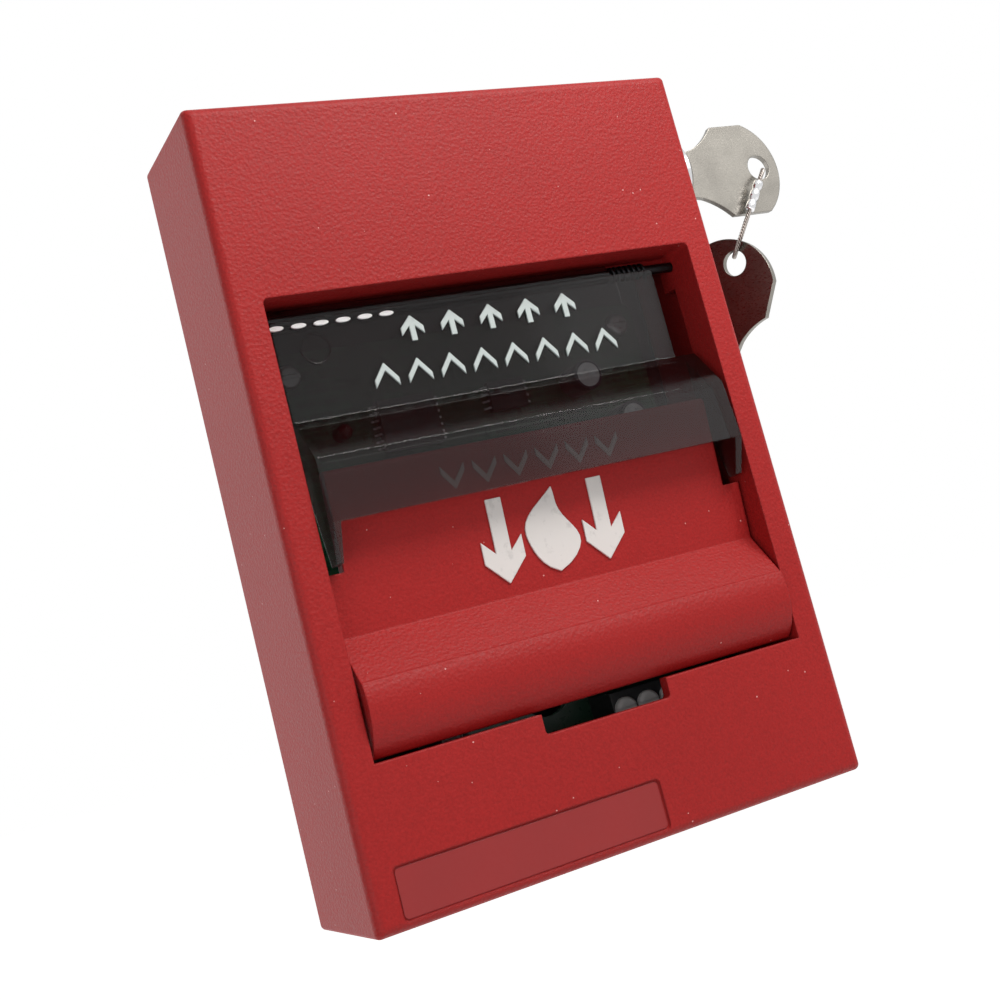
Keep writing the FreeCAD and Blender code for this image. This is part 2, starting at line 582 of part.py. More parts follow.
def make_key():
    """Flat key with the centre of its hole at the origin, the blade towards -X, in the XZ plane."""
    blade = BLADE_H / 2
    blade_x = NECK_X - NECK_L
    end_x = blade_x - BLADE_L + KEY_STANDOFF
    point_x = end_x + KEY_POINT_L
    low_neck = NECK_HALF_H - NECK_TAPER

    def line(a, b):
        return Part.LineSegment(V(a[0], 0, a[1]), V(b[0], 0, b[1])).toShape()

    def arc(a, b, c):
        return Part.Arc(V(a[0], 0, a[1]), V(b[0], 0, b[1]), V(c[0], 0, c[1])).toShape()

    edges = [arc((BOW_TOP[1], BOW_HALF_H), BOW_TIP, (BOW_LOW[1], -BOW_HALF_H))]
    for sign, flat in ((1, BOW_TOP), (-1, BOW_LOW)):
        neck = (NECK_X, sign * NECK_HALF_H)
        shoulder = (blade_x, sign * low_neck)
        root = (blade_x, sign * blade)
        point = (point_x, sign * blade)
        side = (flat[0], sign * BOW_HALF_H)
        scoop = (NECK_X + SCOOP[0], sign * (NECK_HALF_H + SCOOP[1]))
        edges += [line((end_x, 0), point), line(point, root), line(root, shoulder), line(shoulder, neck),
                  arc(neck, scoop, side), line(side, (flat[1], sign * BOW_HALF_H))]
    face = Part.Face(Part.Wire(Part.__sortEdges__(edges)))
    body = face.extrude(V(0, KEY_T, 0))
    body.translate(V(0, -KEY_T / 2, 0))
    tools = [rod((0, -KEY_T, 0), (0, 1, 0), KEY_HOLE_R, 2 * KEY_T)]
    # Bitting: shallow cuts along both edges of the blade, one pair at each wafer
    for k, depth in enumerate(BIT_DEPTHS):
        x = blade_x - WAFER_FROM_FACE - WAFER_PITCH * k
        for sign in (-1, 1):
            z0, z1 = sorted((sign * (blade - depth), sign * (blade + 1)))
            tools.append(box(x - BIT_HALF_L, x + BIT_HALF_L, -KEY_T, KEY_T, z0, z1))
    return cut(body, tools), blade_x


def make_keys():
    body, blade_x = make_key()
    hole = V(BEZEL_X + KEY_STANDOFF - blade_x, LOCK_Y, LOCK_Z)
    key = body.copy()
    key.translate(hole)
    save("key", [key])
    spare_hole = hole + V(*LINK_DROP)
    spare = body.copy()
    spare.Placement = FreeCAD.Placement(spare_hole, FreeCAD.Rotation(
        V(*SPARE_BLADE) * -1, V(*SPARE_FACE), V(), "XYZ"))
    save("spare_key", [spare])
    make_link(hole + V(*LINK_TOP), spare_hole + V(*LINK_LOW))


def make_link(top, low):
    """Wire loop through both key holes, with a crimped ferrule on its front strand."""
    along = (low - top).normalize()
    normal = along.cross(V(*LOOP_SIDE)).normalize()
    side = normal.cross(along).normalize()
    centre = (top + low) * 0.5
    half_l = (low - top).Length / 2
    straight = half_l - LOOP_HALF_W

    def at(u, v):
        return centre + along * u + side * v

    w = LOOP_HALF_W
    wire = Part.Wire([Part.LineSegment(at(-straight, w), at(straight, w)).toShape(),
                      Part.Arc(at(straight, w), at(half_l, 0), at(straight, -w)).toShape(),
                      Part.LineSegment(at(straight, -w), at(-straight, -w)).toShape(),
                      Part.Arc(at(-straight, -w), at(-half_l, 0), at(-straight, w)).toShape()])
    section = Part.Wire([Part.makeCircle(LINK_WIRE_R, at(-straight, w), along)])
    save("key_link_wire", [wire.makePipeShell([section], True, False)])
    start = at(-straight, -w)
    ferrule = Part.makeCylinder(LINK_WIRE_R + FERRULE_WALL, FERRULE_L, start, along)
    core = Part.makeCylinder(LINK_WIRE_R + PRESS, FERRULE_L + 2, start - along, along)
    save("link_ferrule", [ferrule.cut(core)])


# ---------------------------------------------------------------------------
# Mounting plate with hinge lugs and the strike
# ---------------------------------------------------------------------------
def make_plate():
    plate_left = HINGE_X + HINGE_IN_X + 2 * RUN
    plate = box(plate_left, PLATE_RIGHT, -PLATE_T, 0, -PLATE_H / 2, PLATE_H / 2)
    plate = fillet(plate, PLATE_FILLET, lambda c, d: abs(d.y) > 0.9)
    hole = box(-WIRE_HOLE_W / 2, WIRE_HOLE_W / 2, -PLATE_T - 1, 1, -WIRE_HOLE_H / 2, WIRE_HOLE_H / 2)
    parts = [plate.cut(fillet(hole, WIRE_HOLE_FILLET, lambda c, d: abs(d.y) > 0.9))]
    foot_x = plate_left + LUG_BRIDGE
    for z, _ in lug_places():
        z0 = z - LUG_T / 2
        z1 = z + LUG_T / 2
        lug = fuse([rod((HINGE_X, HINGE_Y, z0), (0, 0, 1), EYE_R, LUG_T),
                    box(HINGE_X, foot_x, HINGE_Y - EYE_R, HINGE_Y + EYE_R - LUG_WALL_CLEAR, z0, z1),
                    box(plate_left, foot_x, HINGE_Y - EYE_R, -PLATE_T / 2, z0, z1)])
        parts.append(lug.cut(rod((HINGE_X, HINGE_Y, z0 - 1), (0, 0, 1), HINGE_PIN_R + FIT, LUG_T + 2)))
    plate = fuse(parts)
    tools = [plate_bore(0, sign * BOX_SCREW_PITCH / 2, BOX_SCREW_HOLE_R) for sign in (-1, 1)]
    tools += [plate_bore(x, z, SCREW_R + PRESS) for x, z in board_screw_places()]
    return plate, tools


def plate_bore(x, z, radius):
    return rod((x, -PLATE_T - 8, z), (0, 1, 0), radius, PLATE_T + 10)


def make_base(cam_x0):
    # Strike: a bracket whose lip stands in front of the cam once it has turned down
    web_x1 = cam_x0 - STRIKE_GAP
    web_x0 = web_x1 - STRIKE_T
    foot_x0 = web_x0 - STRIKE_FOOT
    foot_y = -PLATE_T - STRIKE_T
    lip_y = LOCK_Y - CAM_R - RUN
    top = LOCK_Z - BARREL_R - STRIKE_UNDER_BARREL
    low = top - STRIKE_H
    strike = fuse([box(foot_x0, web_x1, foot_y, -PLATE_T, low, top),
                   box(web_x0, web_x1, lip_y - STRIKE_T, -PLATE_T, low, top),
                   box(web_x0, cam_x0 + CAM_T, lip_y - STRIKE_T, lip_y, low, top)])
    screw_x = (foot_x0 + web_x0) / 2
    screw_z = (low + top) / 2
    bore = plate_bore(screw_x, screw_z, SCREW_R + PRESS)
    plate, tools = make_plate()
    save("mounting_plate", [cut(plate, tools + [bore])])
    save("lock_strike", [strike.cut(bore)])
    save("strike_screw", [pan_screw((screw_x, foot_y, screw_z), SCREW_HEAD_R, SCREW_HEAD_H,
                                    PLATE_T + STRIKE_T - RUN)])


def board_screw_places():
    xs = (BOARD_LEFT + BOARD_SCREW_EDGE, BOARD_RIGHT - BOARD_SCREW_EDGE)
    zs = (BOARD_BOTTOM + BOARD_SCREW_EDGE, BOARD_TOP - BOARD_SCREW_EDGE)
    return [(x, z) for x in xs for z in zs]


# ---------------------------------------------------------------------------
# Circuit board, terminal block, microswitch
# ---------------------------------------------------------------------------
def board_bore(x, z, radius):
    return rod((x, BOARD_Y - 1, z), (0, 1, 0), radius, BOARD_T + BOARD_UP + 2)


def make_board():
    board = box(BOARD_LEFT, BOARD_RIGHT, BOARD_Y, BOARD_Y + BOARD_T, BOARD_BOTTOM, BOARD_TOP)
    board = fillet(board, BOARD_FILLET, lambda c, d: abs(d.y) > 0.9)
    tools = [board_bore(0, -BOX_SCREW_PITCH / 2, BOX_SCREW_ROOM_R)]
    for x0, x1, z0, z1 in switch_blade_places():
        tools.append(box(x0 - FIT, x1 + FIT, BOARD_Y - 1, 0, z0 - FIT, z1 + FIT))
    standoffs = []
    screws = []
    for x, z in board_screw_places():
        bore = board_bore(x, z, SCREW_R + PRESS)
        tools.append(bore)
        standoffs.append(rod((x, BOARD_Y + BOARD_T, z), (0, 1, 0), STANDOFF_R, BOARD_UP).cut(bore))
        shank_l = BOARD_T + BOARD_UP + PLATE_T - RUN
        screws.append(pan_screw((x, BOARD_Y, z), SCREW_HEAD_R, SCREW_HEAD_H, shank_l))
    save("circuit_board", [cut(board, tools)])
    save("board_standoffs", standoffs)
    save("board_screws", screws)


def make_terminals():
    face_y = BOARD_Y - BLOCK_D
    low = BLOCK_Z - BLOCK_H / 2
    screw_z = BLOCK_Z + BLOCK_SCREW_UP
    roof_y = face_y + CLAMP_ROOF
    floor_y = BOARD_Y - CLAMP_FLOOR
    block = box(BLOCK_LEFT, BLOCK_LEFT + POLES * POLE_PITCH, face_y, BOARD_Y, low, low + BLOCK_H)
    tools = []
    clamps = []
    screws = []
    for k in range(POLES):
        x = BLOCK_LEFT + POLE_PITCH * (k + 0.5)
        bore = rod((x, face_y - 1, screw_z), (0, 1, 0), SCREW_R + PRESS, TERMINAL_SHANK_L + 2)
        x0 = x - CLAMP_HALF_W
        x1 = x + CLAMP_HALF_W
        clamp_top = screw_z + CLAMP_HALF_W
        tools.append(bore)
        tools.append(box(x0 - FIT, x1 + FIT, roof_y, floor_y, low - 1, clamp_top + FIT))
        clamp = box(x0, x1, roof_y + RUN, floor_y - FIT, low + 1, clamp_top)
        room = box(x0 + CLAMP_WALL, x1 - CLAMP_WALL, face_y + TERMINAL_SHANK_L - 0.2,
                   floor_y - FIT - CLAMP_WALL, low, clamp_top + 1)
        clamps.append(cut(clamp, [room, bore]))
        screws.append(pan_screw((x, face_y, screw_z), TERMINAL_HEAD_R, TERMINAL_HEAD_H, TERMINAL_SHANK_L))
    save("terminal_block", [cut(block, tools)])
    save("terminal_clamps", clamps)
    save("terminal_screws", screws)


def switch_blade_places():
    """Left, right, low and high of each of the switch's three blades."""
    lows = [SWITCH_Z + BLADE_FROM_END + BLADE_PITCH * k for k in range(3)]
    return [(TAIL_X - BLADE_HALF_T, TAIL_X + BLADE_HALF_T, low, low + BLADE_W) for low in lows]


def make_switch():
    x0 = TAIL_X - SWITCH_W / 2
    pivot_y, pivot_z = LEVER_PIVOT
    body = box(x0, x0 + SWITCH_W, SWITCH_Y, BOARD_Y, SWITCH_Z, SWITCH_Z + SWITCH_L)
    parts = [fillet(body, SWITCH_FILLET, lambda c, d: abs(d.x) > 0.9 and c.y < SWITCH_Y + 1)]
    ear_in = LEVER_W / 2 + LEVER_EAR_GAP
    ear_out = ear_in + LEVER_EAR_T
    for side in (-1, 1):
        a, b = sorted((TAIL_X + side * ear_in, TAIL_X + side * ear_out))
        parts.append(box(a, b, pivot_y - LEVER_CURL_R, SWITCH_Y + 1,
                         pivot_z - LEVER_CURL_R, pivot_z + LEVER_CURL_R))
    plunger_z = SWITCH_Z + PLUNGER_UP
    plunger_half_w = PLUNGER_HALF_W + FIT
    plunger_half_h = PLUNGER_HALF_H + FIT
    pin_bore = rod((x0 - 1, pivot_y, pivot_z), (1, 0, 0), LEVER_PIN_R + PRESS, SWITCH_W + 2)
    well = box(TAIL_X - plunger_half_w, TAIL_X + plunger_half_w, SWITCH_Y - 1, SWITCH_Y + 5,
               plunger_z - plunger_half_h, plunger_z + plunger_half_h)
    save("switch_body", [cut(fuse(parts), [pin_bore, well])])
    save("switch_lever_pin", [rod((TAIL_X - ear_out, pivot_y, pivot_z), (1, 0, 0), LEVER_PIN_R, 2 * ear_out)])
    plunger = box(TAIL_X - PLUNGER_HALF_W, TAIL_X + PLUNGER_HALF_W, SWITCH_Y - PLUNGER_OUT,
                  SWITCH_Y + PLUNGER_IN, plunger_z - PLUNGER_HALF_H, plunger_z + PLUNGER_HALF_H)
    save("switch_plunger", [plunger])
    save("switch_terminals", [box(a, b, BOARD_Y, BOARD_Y + BOARD_T + BLADE_OUT, c, d)
                              for a, b, c, d in switch_blade_places()])

    # Lever: a strip from its hinge curl up to the handle's tail
    half_w = LEVER_W / 2
    strip = box(TAIL_X - half_w, TAIL_X + half_w, -LEVER_T / 2, LEVER_T / 2, LEVER_PIN_R + FIT, LEVER_L)
    curl = rod((TAIL_X - LEVER_W / 2, 0, 0), (1, 0, 0), LEVER_CURL_R, LEVER_W)
    lever = fuse([strip, curl]).cut(rod((TAIL_X - LEVER_W, 0, 0), (1, 0, 0), LEVER_PIN_R + FIT, 2 * LEVER_W))
    lever.rotate(V(0, 0, 0), V(1, 0, 0), LEVER_LEAN)
    lever.translate(V(0, pivot_y, pivot_z))
    save("switch_lever", [lever])


def make_components():
    """Parts soldered to the front of the board."""
    def chip(x, z, w, h, t):
        return box(x - w / 2, x + w / 2, BOARD_Y - t, BOARD_Y, z - h / 2, z + h / 2)

    save("address_chips", [chip(-14, 14, 12, 10, 2.0), chip(8, 16, 8, 6, 1.6), chip(-16, -8, 7, 5, 1.6)])
    save("board_capacitors", [rod((x, BOARD_Y, z), (0, -1, 0), 3.0, 7.0) for x, z in ((24, 16), (32, 6))])
    save("board_resistors", [chip(x, -18, 1.6, 3.2, 0.7) for x in (-8, -4, 4, 8, 12)])
    led = (-28, BOARD_Y, 14)
    save("status_led", [fuse([rod(led, (0, -1, 0), LED_R, LED_L),
                              Part.makeSphere(LED_R, V(*led) - V(0, LED_L, 0))])])
    save("address_switch", [fillet(chip(-5, -56, 20, 9, 4.0), 0.5, lambda c, d: abs(d.y) > 0.9)])


save("front_cover", [make_cover()])
save("lift_flap", [make_flap()])
save("pull_handle", [make_handle()])
make_pins()
make_base(make_lock())
make_keys()
make_board()
make_terminals()
make_switch()
make_components()
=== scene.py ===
import json
import math

import bmesh
import bpy
from mathutils import Euler, Matrix, Vector


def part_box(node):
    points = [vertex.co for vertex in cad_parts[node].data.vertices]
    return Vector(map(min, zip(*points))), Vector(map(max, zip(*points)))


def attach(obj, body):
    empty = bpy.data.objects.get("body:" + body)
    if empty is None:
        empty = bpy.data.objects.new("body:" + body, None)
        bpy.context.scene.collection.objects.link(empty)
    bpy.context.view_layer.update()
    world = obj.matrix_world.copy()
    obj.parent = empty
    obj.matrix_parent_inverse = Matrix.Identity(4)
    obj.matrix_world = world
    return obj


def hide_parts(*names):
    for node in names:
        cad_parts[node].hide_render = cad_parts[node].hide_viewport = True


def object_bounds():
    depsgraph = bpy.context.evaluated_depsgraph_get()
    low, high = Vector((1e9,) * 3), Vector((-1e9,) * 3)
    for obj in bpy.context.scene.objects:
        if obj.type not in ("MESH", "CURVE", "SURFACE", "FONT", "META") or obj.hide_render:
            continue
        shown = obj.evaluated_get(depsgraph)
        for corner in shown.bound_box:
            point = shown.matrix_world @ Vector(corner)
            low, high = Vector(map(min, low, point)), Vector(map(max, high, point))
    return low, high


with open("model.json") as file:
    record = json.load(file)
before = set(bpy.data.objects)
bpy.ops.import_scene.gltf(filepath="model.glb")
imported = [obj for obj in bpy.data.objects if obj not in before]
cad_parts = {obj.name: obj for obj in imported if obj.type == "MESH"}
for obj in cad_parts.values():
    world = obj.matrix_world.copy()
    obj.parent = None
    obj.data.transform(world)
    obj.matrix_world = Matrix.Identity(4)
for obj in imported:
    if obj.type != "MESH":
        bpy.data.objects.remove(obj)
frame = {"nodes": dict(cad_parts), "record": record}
CAD_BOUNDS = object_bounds()
NODES = frame["nodes"]
MM = 0.001

# ---------------------------------------------------------------------------
# Places read from the frame
# ---------------------------------------------------------------------------
COVER_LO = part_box("front_cover")[0]
BOARD_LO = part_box("circuit_board")[0]


def spot(x, depth, z):
    """A point given in millimetres from the cover's left edge, front face and lower edge."""
    return COVER_LO + Vector((x, depth, z)) * MM


# ---------------------------------------------------------------------------
# Node helpers
# ---------------------------------------------------------------------------
class Mat:
    """A node material under construction."""

    def __init__(self, name):
        self.material = bpy.data.materials.new(name)
        self.material.use_nodes = True
        self.nodes = self.material.node_tree.nodes
        self.links = self.material.node_tree.links
        self.shader = self.nodes["Principled BSDF"]
        self.place = self.nodes.new("ShaderNodeTexCoord").outputs["Object"]

    def add(self, kind, **values):
        """A new node, with each value set on the input or the property of that name."""
        node = self.nodes.new(kind)
        for key, value in values.items():
            if key in node.inputs:
                node.inputs[key].default_value = value
            else:
                setattr(node, key, value)
        return node

    def link(self, a, b):
        self.links.new(a, b)

    def set(self, **values):
        """Constants on the shader's own sockets, with _ for a space."""
        for key, value in values.items():
            self.shader.inputs[key.replace("_", " ")].default_value = value

    def noise(self, scale, detail=2.0, rough=0.5, stretch=None):
        node = self.add("ShaderNodeTexNoise", Scale=scale, Detail=detail, Roughness=rough)
        self.link(self.stretched(stretch), node.inputs["Vector"])
        return node.outputs["Fac"]

    def cells(self, scale):
        """Distance to the nearest of scattered points."""
        node = self.add("ShaderNodeTexVoronoi", Scale=scale)
        self.link(self.place, node.inputs["Vector"])
        return node.outputs["Distance"]

    def stretched(self, stretch):
        if stretch is None:
            return self.place
        node = self.add("ShaderNodeMapping")
        node.inputs["Scale"].default_value = stretch
        self.link(self.place, node.inputs["Vector"])
        return node.outputs["Vector"]

    def ramp(self, value, stops):
        """A colour ramp with (position, colour or grey) stops."""
        node = self.add("ShaderNodeValToRGB")
        elements = node.color_ramp.elements
        while len(elements) < len(stops):
            elements.new(0.5)
        for element, (position, colour) in zip(elements, stops):
            grey = not hasattr(colour, "__len__")
            element.position = position
            element.color = (colour, colour, colour, 1) if grey else (*colour, 1)
        self.link(value, node.inputs["Fac"])
        return node.outputs["Color"]

    def mix(self, factor, a, b, blend="MIX"):
        node = self.add("ShaderNodeMix", data_type="RGBA", blend_type=blend)
        for socket, value in ((0, factor), (6, a), (7, b)):
            if isinstance(value, bpy.types.NodeSocket):
                self.link(value, node.inputs[socket])
            elif socket == 0:
                node.inputs[socket].default_value = value
            else:
                node.inputs[socket].default_value = (*value, 1)
        return node.outputs[2]

    def math(self, operation, a, b=0.0):
        node = self.add("ShaderNodeMath", operation=operation)
        for index, value in enumerate((a, b)):
            if isinstance(value, bpy.types.NodeSocket):
                self.link(value, node.inputs[index])
            else:
                node.inputs[index].default_value = value
        return node.outputs[0]

    def bump(self, layers, edge=0.25):
        """Chained bumps from (height, strength, distance in millimetres), over softened edges."""
        rounded = self.add("ShaderNodeBevel", Radius=edge * MM)
        rounded.samples = 6
        normal = rounded.outputs["Normal"]
        for height, strength, distance in layers:
            node = self.add("ShaderNodeBump", Strength=strength, Distance=distance * MM)
            self.link(height, node.inputs["Height"])
            self.link(normal, node.inputs["Normal"])
            normal = node.outputs["Normal"]
        self.link(normal, self.shader.inputs["Normal"])


# ---------------------------------------------------------------------------
# Materials
# ---------------------------------------------------------------------------
RED_LOW = (0.335, 0.0155, 0.0150)
RED_HIGH = (0.385, 0.0185, 0.0180)


def red_plastic():
    """Moulded red plastic with a fine spark-eroded grain and pale specks that are partly dust and partly
    painted glints.
    """
    m = Mat("red_plastic")
    grain = m.noise(2300, 3.0, 0.65)
    pebble = m.cells(1500)
    cloud = m.noise(16, 3.0)
    # Pale specks (0.80, 0.50, 0.48): partly dust, partly painted glints that stand in for the grain's
    # sparkle.
    dust_glint_cells = m.math("LESS_THAN", m.cells(300), 0.045)
    dust_and_glint = m.math("MULTIPLY", dust_glint_cells, m.math("GREATER_THAN", m.noise(70, 1.0), 0.47))
    base = m.ramp(cloud, [(0.3, RED_LOW), (0.7, RED_HIGH)])
    pits = m.ramp(grain, [(0.32, 0.72), (0.62, 1.05)])
    colour = m.mix(0.6, base, pits, "MULTIPLY")
    m.link(m.mix(m.math("MULTIPLY", dust_and_glint, 0.7), colour, (0.80, 0.50, 0.48)), m.shader.inputs["Base Color"])
    m.link(m.ramp(grain, [(0.3, 0.38), (0.7, 0.56)]), m.shader.inputs["Roughness"])
    m.set(IOR=1.5, Specular_IOR_Level=0.20)
    m.bump([(pebble, 0.60, 0.11), (grain, 0.85, 0.08)], 0.5)
    return m.material


def smoked_clear():
    """Dark smoked plastic, partly see-through, with a faint haze."""
    m = Mat("smoked_clear")
    cloud = m.noise(60, 2.0)
    haze = m.noise(700, 3.0, 0.6)
    m.link(m.ramp(cloud, [(0.3, (0.004, 0.0015, 0.0015)), (0.7, (0.007, 0.003, 0.003))]),
           m.shader.inputs["Base Color"])
    m.link(m.ramp(haze, [(0.4, 0.10), (0.65, 0.16)]), m.shader.inputs["Roughness"])
    m.set(Alpha=0.53, IOR=1.5, Specular_IOR_Level=0.42)
    m.bump([(haze, 0.06, 0.02)], 0.35)
    return m.material


def metal(name, colour, rough, brushed=None, patina=0.15, scratch=0.12):
    """Plated or stamped metal. brushed stretches its fine scratches."""
    m = Mat(name)
    fine = m.noise(1500, 3.0, 0.6, brushed)
    cloud = m.noise(180, 3.0)
    dark = tuple(c * (1 - patina) for c in colour)
    m.link(m.ramp(cloud, [(0.35, dark), (0.65, colour)]), m.shader.inputs["Base Color"])
    m.link(m.ramp(fine, [(0.3, rough * 0.75), (0.7, min(1.0, rough * 1.35))]), m.shader.inputs["Roughness"])
    m.set(Metallic=1.0)
    m.bump([(fine, scratch, 0.03)])
    return m.material


def plastic(name, colour, rough, vary=0.12):
    """Plain moulded plastic with a faint texture."""
    m = Mat(name)
    fine = m.noise(1400, 2.0)
    cloud = m.noise(90, 2.0)
    dark = tuple(c * (1 - vary) for c in colour)
    m.link(m.ramp(cloud, [(0.35, dark), (0.65, colour)]), m.shader.inputs["Base Color"])
    m.link(m.ramp(fine, [(0.3, rough * 0.85), (0.7, min(1.0, rough * 1.2))]), m.shader.inputs["Roughness"])
    m.bump([(fine, 0.2, 0.03)])
    return m.material


def board():
    """Solder mask with copper tracks and poured areas under it."""
    m = Mat("board_green")
    turned = m.add("ShaderNodeMapping")
    turned.inputs["Rotation"].default_value = (math.radians(90), 0, 0)
    m.link(m.place, turned.inputs["Vector"])
    tracks = None
    for scale, offset, squash in ((90, 0.37, 1.0), (210, 0.5, 2.0)):
        bricks = m.add("ShaderNodeTexBrick", Scale=scale, Color1=(0, 0, 0, 1), Color2=(0, 0, 0, 1),
                       Mortar=(1, 1, 1, 1))
        bricks.inputs["Mortar Size"].default_value = 0.035
        bricks.offset, bricks.squash = offset, squash
        m.link(turned.outputs["Vector"], bricks.inputs["Vector"])
        line = bricks.outputs["Color"]
        tracks = line if tracks is None else m.math("MAXIMUM", tracks, line)
    kept = m.math("MULTIPLY", tracks, m.math("GREATER_THAN", m.noise(60, 1.0), 0.48))
    m.link(m.mix(kept, (0.007, 0.060, 0.028), (0.014, 0.105, 0.048)), m.shader.inputs["Base Color"])
    m.link(m.ramp(m.noise(800), [(0.3, 0.25), (0.7, 0.4)]), m.shader.inputs["Roughness"])
    m.bump([(kept, 0.2, 0.03)])
    return m.material


def led():
    """Tinted, partly clear epoxy."""
    m = Mat("led_red")
    cloud = m.noise(600, 1.0)
    m.link(m.ramp(cloud, [(0.3, (0.35, 0.01, 0.01)), (0.7, (0.45, 0.02, 0.02))]),
           m.shader.inputs["Base Color"])
    m.link(m.ramp(cloud, [(0.3, 0.15), (0.7, 0.22)]), m.shader.inputs["Roughness"])
    m.set(Transmission_Weight=0.5)
    return m.material


def mark_paint(name, colour):
    """Hot-stamped pale paint on raised marks, a little worn."""
    m = Mat(name)
    worn = m.noise(520, 4.0, 0.6)
    dark = tuple(c * 0.85 for c in colour)
    m.link(m.ramp(worn, [(0.30, dark), (0.42, colour)]), m.shader.inputs["Base Color"])
    m.link(m.ramp(worn, [(0.3, 0.55), (0.7, 0.40)]), m.shader.inputs["Roughness"])
    m.bump([(worn, 0.2, 0.05)], 0.1)
    return m.material


STEEL = (0.56, 0.56, 0.57)
LOOKS = {
    "red_plastic": red_plastic(),
    "smoked_clear": smoked_clear(),
    "steel": metal("steel", STEEL, 0.32),
    "chrome": metal("chrome", (0.70, 0.70, 0.71), 0.12, patina=0.05),
    "brass": metal("brass", (0.62, 0.45, 0.18), 0.3),
    "key_nickel": metal("key_nickel", (0.26, 0.245, 0.22), 0.30, (1, 1, 6), 0.16, 0.03),
    "wire": metal("wire", (0.42, 0.38, 0.35), 0.36, patina=0.3, scratch=0.03),
    "plate_paint": plastic("plate_paint", (0.012, 0.012, 0.013), 0.55),
    "board_green": board(),
    "nylon": plastic("nylon", (0.62, 0.61, 0.57), 0.5),
    "dark_plastic": plastic("dark_plastic", (0.018, 0.018, 0.02), 0.45),
    "aluminium_can": metal("aluminium_can", (0.7, 0.7, 0.72), 0.35),
    "led_red": led(),
}
# Painted shade: spring and hinge pin coloured near black so the interior behind the flap reads dark.
SPRING_PAINTED_SHADE = metal("spring_painted_shade", (0.030, 0.030, 0.032), 0.4)
# Painted highlight: screw heads given a near-white, non-metal colour so they look as bright as plated heads
# catching light in the dim notch.
TIN_PAINTED_BRIGHT = plastic("tin_painted_bright", (0.86, 0.84, 0.83), 0.45)
SLOTS = {row["node"]: row["material_slot"] for row in frame["record"]["subparts"]}
for node_name, node in NODES.items():
    node.data.materials.clear()
    node.data.materials.append(LOOKS[SLOTS[node_name]])
# The flap's spring and hinge pin get the near-black colour that paints the shade behind the flap.
for node_name in ("flap_spring", "flap_hinge_pin"):
    NODES[node_name].data.materials[0] = SPRING_PAINTED_SHADE
# The terminal screws get the near-white colour that paints their highlight.
NODES["terminal_screws"].data.materials[0] = TIN_PAINTED_BRIGHT


# ---------------------------------------------------------------------------
# Raised marks: plain pictograms for lifting the flap and pulling the handle down
# ---------------------------------------------------------------------------
FLAP_FACE = 5.1                                 # depth of the flap's upright upper face
PLATE_TOP, PLATE_FACE = 77.3, 3.0               # height and depth of the handle plate's upper edge
PLATE_LEAN = 2.5 / 29.0                         # how much deeper it gets per millimetre down
FLAME_WIDTH, FLAME_SWAY = 0.36, 0.10            # shares of the flame's height


def flap_depth(_height):
    """Depth of the flap's upper face, the same at any height."""
    return FLAP_FACE


def handle_depth(z):
    """Depth of the handle's plate at a height, as it leans back downwards."""
    return PLATE_FACE + (PLATE_TOP - z) * PLATE_LEAN


def arrow(x, z, width, height, stroke):
    """An arrow of one outline, pointing up where height is positive, from its middle."""
    way = 1 if height > 0 else -1
    half, tip, tail = width / 2, z + height / 2, z - height / 2
    s = stroke / 2
    barb = stroke * 1.3
    neck = tip - way * half
    inner = tip - way * (barb + s)
    outline = [(0, tip), (half, neck), (half, neck - way * barb), (s, inner), (s, tail),
               (-s, tail), (-s, inner), (-half, neck - way * barb), (-half, neck)]
    return [(x + a, b) for a, b in outline]


def chevron(x, z, width, height, stroke):
    """A chevron of one outline, pointing up where height is positive."""
    way = 1 if height > 0 else -1
    half, top, low = width / 2, z + height / 2, z - height / 2
    outline = [(0, top), (half, low + way * stroke), (half, low), (0, top - way * stroke),
               (-half, low), (-half, low + way * stroke)]
    return [(x + a, b) for a, b in outline]


def flame(x, z, height):
    """A flame's outline, worked out as two leaning curves that meet at the tip."""
    steps = 14
    right, left = range(steps + 1), range(steps - 1, 0, -1)
    points = []
    for side, share, power, taper in ((1, right, 0.75, 0.25), (-1, left, 0.8, 0.15)):
        for t in (k / steps for k in share):
            swell = side * FLAME_WIDTH * math.sin(math.pi * t ** power) * (1 - taper * t)
            sway = FLAME_SWAY * math.sin(2.4 * math.pi * t) * t
            points.append((x + (swell + sway) * height, z + (t - 0.5) * height))
    return points


def new_piece(name, bm, look, body, bevel=0.0, segments=1):
    """The bmesh as a piece that rides on a body, its edges bevelled by that many millimetres."""
    bmesh.ops.recalc_face_normals(bm, faces=bm.faces)
    mesh = bpy.data.meshes.new(name)
    bm.to_mesh(mesh)
    bm.free()
    mesh.materials.append(look)
    piece = bpy.data.objects.new(name, mesh)
    bpy.context.scene.collection.objects.link(piece)
    if bevel:
        soften = piece.modifiers.new("edges", "BEVEL")
        soften.width = bevel * MM
        soften.segments = segments
        soften.limit_method = "ANGLE"
    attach(piece, body)
    return piece


def raised(name, outlines, depth_of, thickness, body, look, bevel=0.12):
    """Outlines of (x, z) millimetres standing proud of a face, as one piece."""
    bm = bmesh.new()
    for outline in outlines:
        under = [bm.verts.new(spot(x, depth_of(z) + 0.02, z)) for x, z in outline]
        over = [bm.verts.new(spot(x, depth_of(z) - thickness, z)) for x, z in outline]
        bm.faces.new(under)
        bm.faces.new(list(reversed(over)))
        for k in range(len(outline)):
            n = (k + 1) % len(outline)
            bm.faces.new([under[n], under[k], over[k], over[n]])
    return new_piece(name, bm, look, body, bevel, 2)


def spread(first, last, count):
    """Evenly spaced places from first to last."""
    return [first + (last - first) * k / (count - 1) for k in range(count)]


